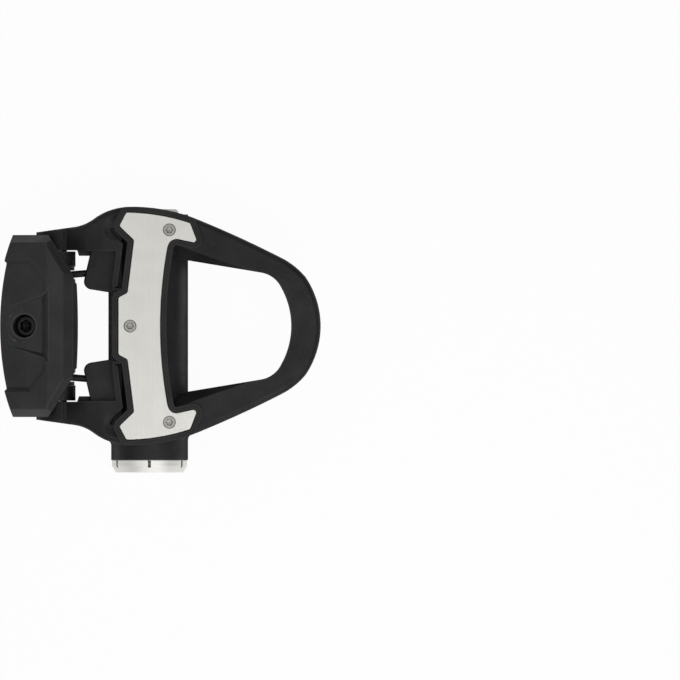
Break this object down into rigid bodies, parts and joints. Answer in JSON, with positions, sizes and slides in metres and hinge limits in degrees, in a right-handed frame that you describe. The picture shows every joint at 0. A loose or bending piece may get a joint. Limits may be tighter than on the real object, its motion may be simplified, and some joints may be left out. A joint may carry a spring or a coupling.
{
  "type": "clipless pedal",
  "caption": "Road clipless pedal: open front hoop, steel wear plate, sprung tilting rear clip with tension screw, sleeved spindle bore.",
  "frame": {"origin": "on the spindle axis, midway along the platform", "axes": "+X to the nose, +Y away from the crank, +Z out of the shoe face"},
  "size_m": [0.093, 0.0771, 0.0295],
  "materials": {
    "composite": "fine moulded texture, matte",
    "plate_steel": "brushed across the pedal",
    "screw_steel": "turned",
    "ring_steel": "bright turned",
    "brass": "plain",
    "black_steel": "black oxide",
    "plain_steel": "ground",
    "spring_steel": "oiled black spring wire",
    "bearing_steel": "ground and polished",
    "bush_plastic": "self-lubricating plastic",
    "rubber": "matte",
    "cap_aluminium": "satin grey-beige"
  },
  "bodies": {
    "pedal": {"pedal_body": "composite", "wear_plate": "plate_steel", "wear_plate_screws": "screw_steel", "pivot_pin": "plain_steel", "pin_circlip": "black_steel", "coil_sleeve": "bush_plastic", "torsion_spring_outboard": "spring_steel", "torsion_spring_inboard": "spring_steel", "slotted_ring": "ring_steel", "axle_seal": "rubber", "needle_cup": "bearing_steel", "bearing_a_outer_ring": "bearing_steel", "bearing_b_outer_ring": "bearing_steel", "outer_spacer": "plain_steel", "housing_circlip": "black_steel", "end_cap": "cap_aluminium", "end_cap_o_ring": "rubber"},
    "clip": {"rear_clip": "composite", "tension_nut": "brass", "pivot_bush_outboard": "bush_plastic", "pivot_bush_inboard": "bush_plastic"},
    "tension_slider": {"tension_plate": "plain_steel"},
    "tension_drive": {"tension_screw": "black_steel"},
    "axle": {"bearing_sleeve": "bearing_steel", "bearing_a_inner_ring": "bearing_steel", "bearing_b_inner_ring": "bearing_steel", "inner_spacer": "plain_steel", "sleeve_washer": "plain_steel", "sleeve_nut": "plain_steel"},
    "needles": {"needle_rollers": "bearing_steel", "needle_cage": "bush_plastic"},
    "balls": {"bearing_a_balls": "bearing_steel", "bearing_b_balls": "bearing_steel", "bearing_a_cage": "bush_plastic", "bearing_b_cage": "bush_plastic"}
  },
  "joints": [
    {"name": "axle_spin", "type": "hinge", "parent": "pedal", "child": "axle", "pos_m": [0, 0, 0], "axis": [0, 1, 0], "continuous": true},
    {"name": "needle_roll", "type": "hinge", "parent": "pedal", "child": "needles", "pos_m": [0, 0, 0], "axis": [0, 1, 0], "continuous": true},
    {"name": "ball_roll", "type": "hinge", "parent": "pedal", "child": "balls", "pos_m": [0, 0, 0], "axis": [0, 1, 0], "continuous": true},
    {"name": "clip_pivot", "type": "hinge", "parent": "pedal", "child": "clip", "pos_m": [-0.0265, 0, 0], "axis": [0, -1, 0], "range_deg": [0, 16], "stiffness_Nm_per_rad": 6, "springref_deg": -22.92, "deforming": ["torsion_spring_outboard", "torsion_spring_inboard"]},
    {"name": "tension_slide", "type": "slide", "parent": "clip", "child": "tension_slider", "axis": [0.3256, 0, -0.9455], "range_m": [0, 0.0016]},
    {"name": "tension_turn", "type": "hinge", "parent": "tension_slider", "child": "tension_drive", "pos_m": [-0.03587, 0, 0.01325], "axis": [0.3256, 0, -0.9455], "range_deg": [0, 720]}
  ],
  "couplings": [
    {"joint": "needle_roll", "follows": "axle_spin", "ratio": 0.42857},
    {"joint": "ball_roll", "follows": "axle_spin", "ratio": 0.436},
    {"joint": "tension_turn", "follows": "tension_slide", "rad_per_m": 7854}
  ]
}
